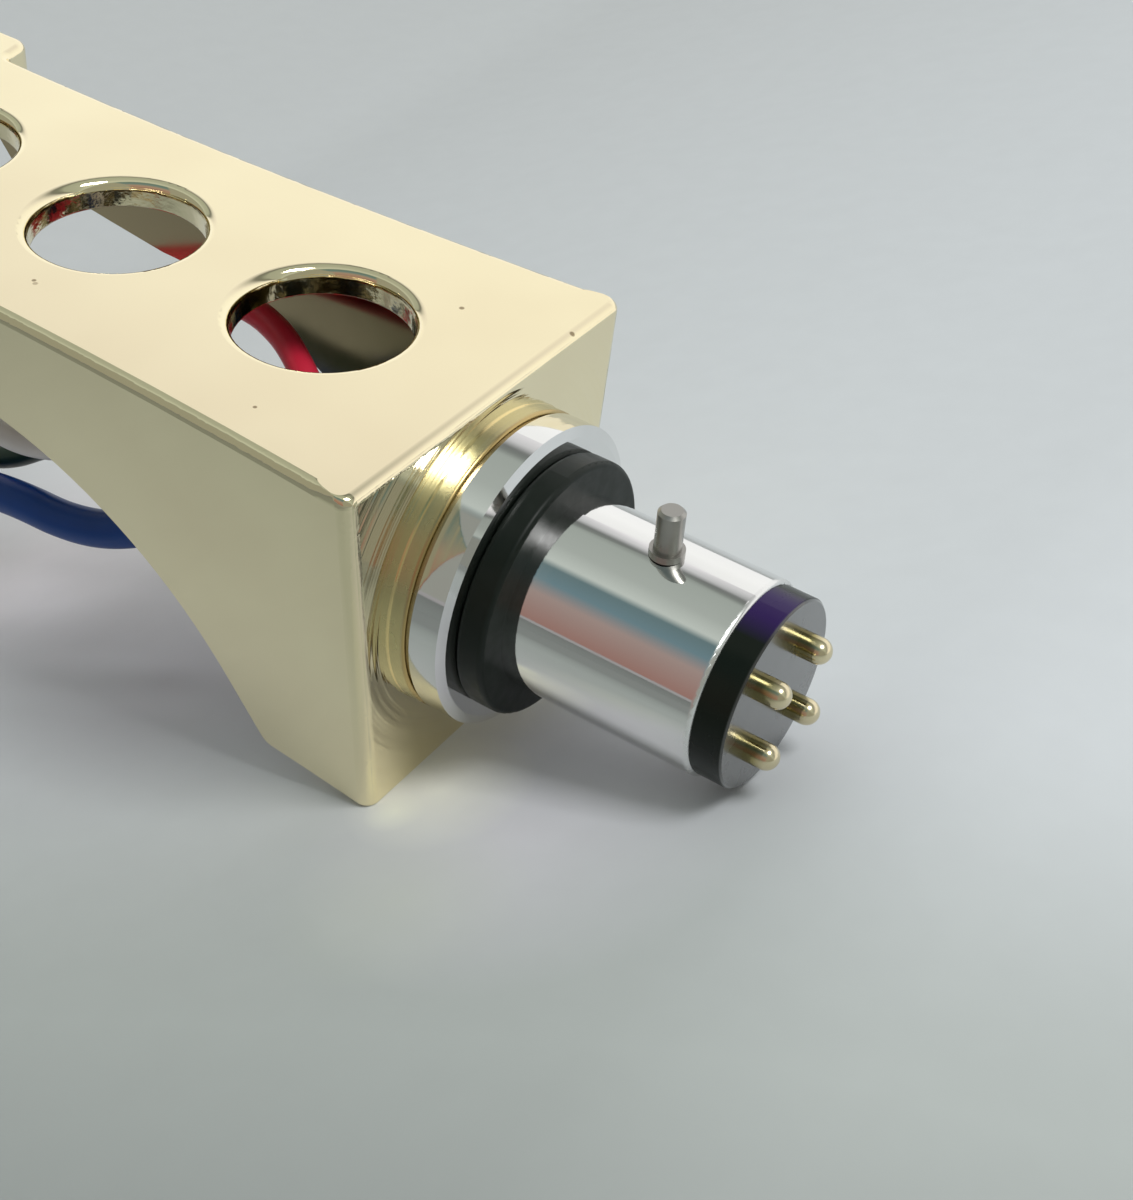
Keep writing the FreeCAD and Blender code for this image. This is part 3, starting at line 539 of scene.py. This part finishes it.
def add_floor():
    """The floor as one smooth sheet, with its rows close together where the slope eases."""
    front_rows = [SLOPE_FRONT - i for i in range(SLOPE_EASE + 1)]
    slope_rows = range(-60, 12, 4)
    rear_rows = [SLOPE_REAR + 0.5 * i for i in range(2 * SLOPE_EASE + 1)]
    rows = sorted({-FLOOR_REACH, *front_rows, *slope_rows, *rear_rows, FLOOR_REACH})
    vertices = []
    for x in rows:
        for y in (-FLOOR_REACH, FLOOR_REACH):
            vertices.append(metres((x, y, floor_height(x))))
    faces = [(2 * i, 2 * i + 2, 2 * i + 3, 2 * i + 1) for i in range(len(rows) - 1)]
    mesh = bpy.data.meshes.new("floor")
    mesh.from_pydata(vertices, [], faces)
    mesh.polygons.foreach_set("use_smooth", [True] * len(faces))
    mesh.materials.append(floor_material())
    floor = bpy.data.objects.new("floor", mesh)
    bpy.context.scene.collection.objects.link(floor)


def add_world():
    """A pale studio: a bright wall on the far side, a dim ceiling and a darker near side."""
    world = bpy.data.worlds.new("studio")
    bpy.context.scene.world = world
    world.use_nodes = True
    t = Tree(world.node_tree)
    x, y, z = t.parts(t.add("ShaderNodeTexCoord").outputs["Generated"])
    turn = t.math("ARCTAN2", z, y)
    ramp = t.add("ShaderNodeValToRGB")
    t.feed(ramp.inputs[0], t.spread(turn, -math.pi, math.pi))
    stops = ramp.color_ramp.elements
    for index, (degrees, colour) in enumerate(STUDIO):
        position = (degrees + 180) / 360
        stop = stops[index] if index < 2 else stops.new(position)
        stop.position = position
        stop.color = (*colour, 1.0)

    # The tinted near side gives way to plain grey towards the front and the rear
    near_side = t.spread(turn, *STUDIO_NEAR_SIDE)
    ends = t.spread(t.math("ABSOLUTE", x), *STUDIO_ENDS)
    colour = t.blend(t.product(near_side, ends), ramp.outputs[0], STUDIO_GREY)
    background = t.tree.nodes["Background"]
    t.feed(background.inputs["Color"], colour)
    t.feed(background.inputs["Strength"], 1.0)


def add_lamp():
    """A soft lamp high up beyond the plug."""
    data = bpy.data.lights.new("rear_lamp", "AREA")
    data.shape = "RECTANGLE"
    data.size, data.size_y = (side * MM for side in LAMP_SIDES)
    data.energy = LAMP_POWER
    lamp = bpy.data.objects.new("rear_lamp", data)
    way = Vector(LAMP_WAY).normalized()
    lamp.location = way * LAMP_DISTANCE * MM + metres(LAMP_AIM)
    lamp.rotation_euler = way.to_track_quat("Z", "Y").to_euler()
    bpy.context.scene.collection.objects.link(lamp)


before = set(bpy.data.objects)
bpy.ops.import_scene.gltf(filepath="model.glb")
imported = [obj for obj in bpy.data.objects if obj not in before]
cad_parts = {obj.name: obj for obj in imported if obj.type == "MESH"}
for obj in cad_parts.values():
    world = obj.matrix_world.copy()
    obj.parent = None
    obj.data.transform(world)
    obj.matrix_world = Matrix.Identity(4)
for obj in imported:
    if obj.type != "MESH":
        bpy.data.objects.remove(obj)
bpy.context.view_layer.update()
add_camera()
add_leads()
dress(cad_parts)
add_floor()
add_world()
bpy.context.scene.view_settings.view_transform = "Standard"
add_lamp()
